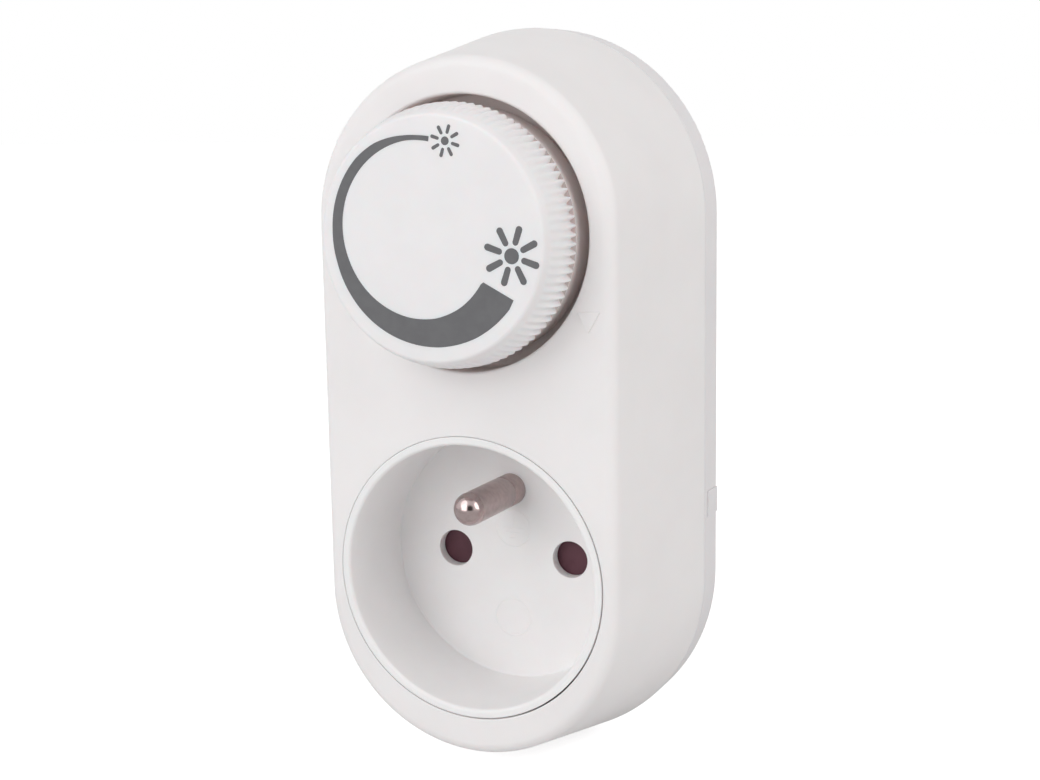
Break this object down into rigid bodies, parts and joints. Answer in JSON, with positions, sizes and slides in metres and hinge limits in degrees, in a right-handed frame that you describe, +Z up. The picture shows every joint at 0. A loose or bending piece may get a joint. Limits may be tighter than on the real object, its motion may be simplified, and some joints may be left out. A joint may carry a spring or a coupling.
{
  "type": "plug-in dimmer",
  "caption": "Upright round-ended mains adapter with a ribbed dimmer knob above a recessed earth-pin socket, and a round plug on its back.",
  "frame": {"origin": "centre of the plug's face, midway between the two plug pins", "axes": "+X to the right seen from the front, +Y into the wall along the plug pins, +Z up towards the knob"},
  "size_m": [0.0554, 0.0737, 0.1086],
  "materials": {
    "shell_white": "satin moulded white",
    "cover_white": "satin moulded white",
    "insert_white": "satin moulded white",
    "knob_white": "satin moulded white",
    "nickel": "bright nickel plate",
    "shutter_maroon": "matt",
    "spring_steel": "drawn wire",
    "carrier_ivory": "matt",
    "screw_steel": "zinc plate",
    "contact_brass": "stamped strip",
    "pot_black": "matt",
    "shaft_metal": "turned",
    "wafer_brown": "laminate",
    "board_green": "solder mask",
    "triac_black": "moulded",
    "sink_aluminium": "rolled sheet",
    "core_iron": "coated powder iron",
    "winding_copper": "lacquered wire",
    "capacitor_red": "dipped",
    "resistor_tan": "lacquered",
    "fuse_glass": "clear",
    "wire_brown": "insulation",
    "wire_black": "insulation"
  },
  "bodies": {
    "case": {"front_shell": "shell_white", "rear_cover": "cover_white", "socket_insert": "insert_white", "earth_pin": "nickel", "shutter_spring": "spring_steel", "contact_carrier": "carrier_ivory", "carrier_screws": "screw_steel", "insert_screws": "screw_steel", "live_contact": "contact_brass", "neutral_contact": "contact_brass", "live_pin": "nickel", "neutral_pin": "nickel", "earth_tube": "contact_brass", "earth_bracket": "contact_brass", "pot_housing": "pot_black", "pot_wafer": "wafer_brown", "circuit_board": "board_green", "board_screws": "screw_steel", "triac": "triac_black", "heat_sink": "sink_aluminium", "triac_screw": "screw_steel", "choke_core": "core_iron", "choke_winding": "winding_copper", "film_capacitor": "capacitor_red", "resistors": "resistor_tan", "fuse": "fuse_glass", "fuse_clips": "contact_brass", "line_wire": "wire_brown", "load_wire": "wire_black", "case_screws": "screw_steel"},
    "knob": {"dimmer_knob": "knob_white", "pot_shaft": "shaft_metal", "pot_wiper": "contact_brass"},
    "shutter": {"shutter": "shutter_maroon"}
  },
  "joints": [
    {"name": "knob_turn", "type": "hinge", "parent": "case", "child": "knob", "pos_m": [0, -0.0387, 0.0491], "axis": [0, -1, 0], "range_deg": [-22, 253]},
    {"name": "shutter_turn", "type": "hinge", "parent": "case", "child": "shutter", "pos_m": [0, -0.0267, 0], "axis": [0, -1, 0], "range_deg": [0, 44], "stiffness_Nm_per_rad": 0.01, "springref_deg": -20.05}
  ]
}
